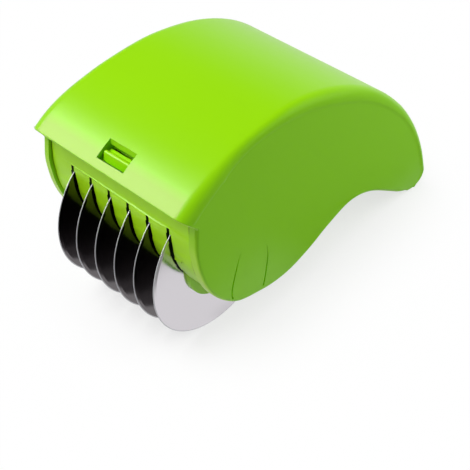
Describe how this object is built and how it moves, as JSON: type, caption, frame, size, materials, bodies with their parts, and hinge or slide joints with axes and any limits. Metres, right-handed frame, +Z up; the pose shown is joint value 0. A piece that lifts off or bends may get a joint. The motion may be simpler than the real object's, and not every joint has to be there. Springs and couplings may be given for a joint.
{
  "type": "rolling herb chopper",
  "caption": "Palm-held rolling herb chopper: a curved hinged hood over a roller of round steel blades that run through a slotted comb, with a small latch in the lip.",
  "frame": {"origin": "middle of the base rectangle, on the board under the closed chopper", "axes": "+X along the axle to the right-hand side panel, +Y from the blades to the tail, +Z up from the board"},
  "size_m": [0.064, 0.1201, 0.076],
  "materials": {
    "hood_plastic": "satin-gloss moulded ABS",
    "shell_plastic": "satin moulded ABS",
    "comb_plastic": "satin-gloss moulded ABS",
    "latch_plastic": "satin moulded acetal",
    "hub_plastic": "satin moulded ABS",
    "white_plastic": "matt moulded acetal",
    "blade_steel": "polished stainless steel sheet with a ground edge",
    "axle_steel": "turned stainless steel",
    "pin_steel": "drawn stainless steel wire",
    "screw_steel": "rolled stainless steel",
    "clip_steel": "punched spring steel",
    "spring_steel": "wound spring wire"
  },
  "bodies": {
    "lower_body": {"lower_shell": "shell_plastic", "front_comb": "comb_plastic", "rear_scraper": "white_plastic", "left_bush": "white_plastic", "right_bush": "white_plastic", "shell_screws": "screw_steel", "latch_pin": "pin_steel", "latch_spring": "spring_steel"},
    "hood": {"hood_shell": "hood_plastic", "hinge_pin": "pin_steel"},
    "roller": {"axle": "axle_steel", "blade_1": "blade_steel", "blade_2": "blade_steel", "blade_3": "blade_steel", "blade_4": "blade_steel", "blade_5": "blade_steel", "blade_6": "blade_steel", "spacer_1": "white_plastic", "spacer_2": "white_plastic", "spacer_3": "white_plastic", "spacer_4": "white_plastic", "spacer_5": "white_plastic", "left_hub": "hub_plastic", "right_hub": "hub_plastic", "left_clip": "clip_steel", "right_clip": "clip_steel"},
    "latch": {"latch_tab": "latch_plastic"}
  },
  "joints": [
    {"name": "roller_spin", "type": "hinge", "parent": "lower_body", "child": "roller", "pos_m": [0, -0.03207, 0.028], "axis": [1, 0, 0], "continuous": true},
    {"name": "hood_hinge", "type": "hinge", "parent": "lower_body", "child": "hood", "pos_m": [0, 0.05457, 0.0055], "axis": [-1, 0, 0], "range_deg": [0, 55]},
    {"name": "latch_press", "type": "hinge", "parent": "lower_body", "child": "latch", "pos_m": [0, -0.04274, 0.05787], "axis": [-1, 0, 0], "range_deg": [0, 12], "stiffness_Nm_per_rad": 0.02, "springref_deg": -5.73, "deforming": ["latch_spring"]}
  ]
}
